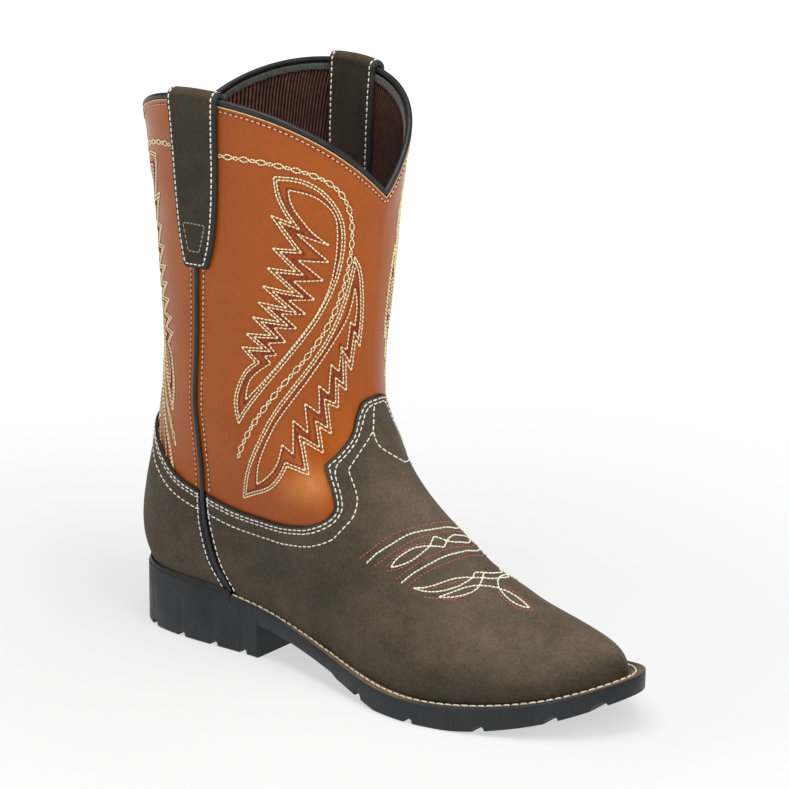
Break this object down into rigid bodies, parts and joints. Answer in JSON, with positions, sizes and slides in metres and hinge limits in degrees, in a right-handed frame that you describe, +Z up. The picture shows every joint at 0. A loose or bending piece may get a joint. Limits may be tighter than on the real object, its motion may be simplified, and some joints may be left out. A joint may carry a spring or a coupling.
{
  "type": "western boot",
  "caption": "Right-foot western pull-on boot with a hollow leather upper, stitched shaft, scalloped collar, side pull straps and a moulded rubber sole with a low heel.",
  "frame": {"origin": "on the floor under the middle of the boot's bounding box", "axes": "+X along the boot to the toe, +Y to the wearer's left (the inner side of this right boot), +Z up from the floor"},
  "size_m": [0.249, 0.1056, 0.2469],
  "materials": {
    "sole_rubber": "matte moulded rubber, blue-black",
    "welt_strip": "tan strip with cream stitching",
    "insole_board": "plain brown cloth over board",
    "shaft_leather": "smooth orange-tan leather with a soft sheen",
    "foot_leather": "dark brown nubuck-like leather, matte",
    "black_trim": "black rolled trim with a low sheen"
  },
  "bodies": {
    "root": {"outsole": "sole_rubber", "welt": "welt_strip", "insole": "insole_board", "upper": "shaft_leather", "vamp": "foot_leather", "counter": "foot_leather", "collar_binding": "black_trim", "side_piping_lateral": "black_trim", "side_piping_medial": "black_trim", "pull_strap_lateral": "foot_leather", "pull_strap_medial": "foot_leather"}
  },
  "joints": []
}
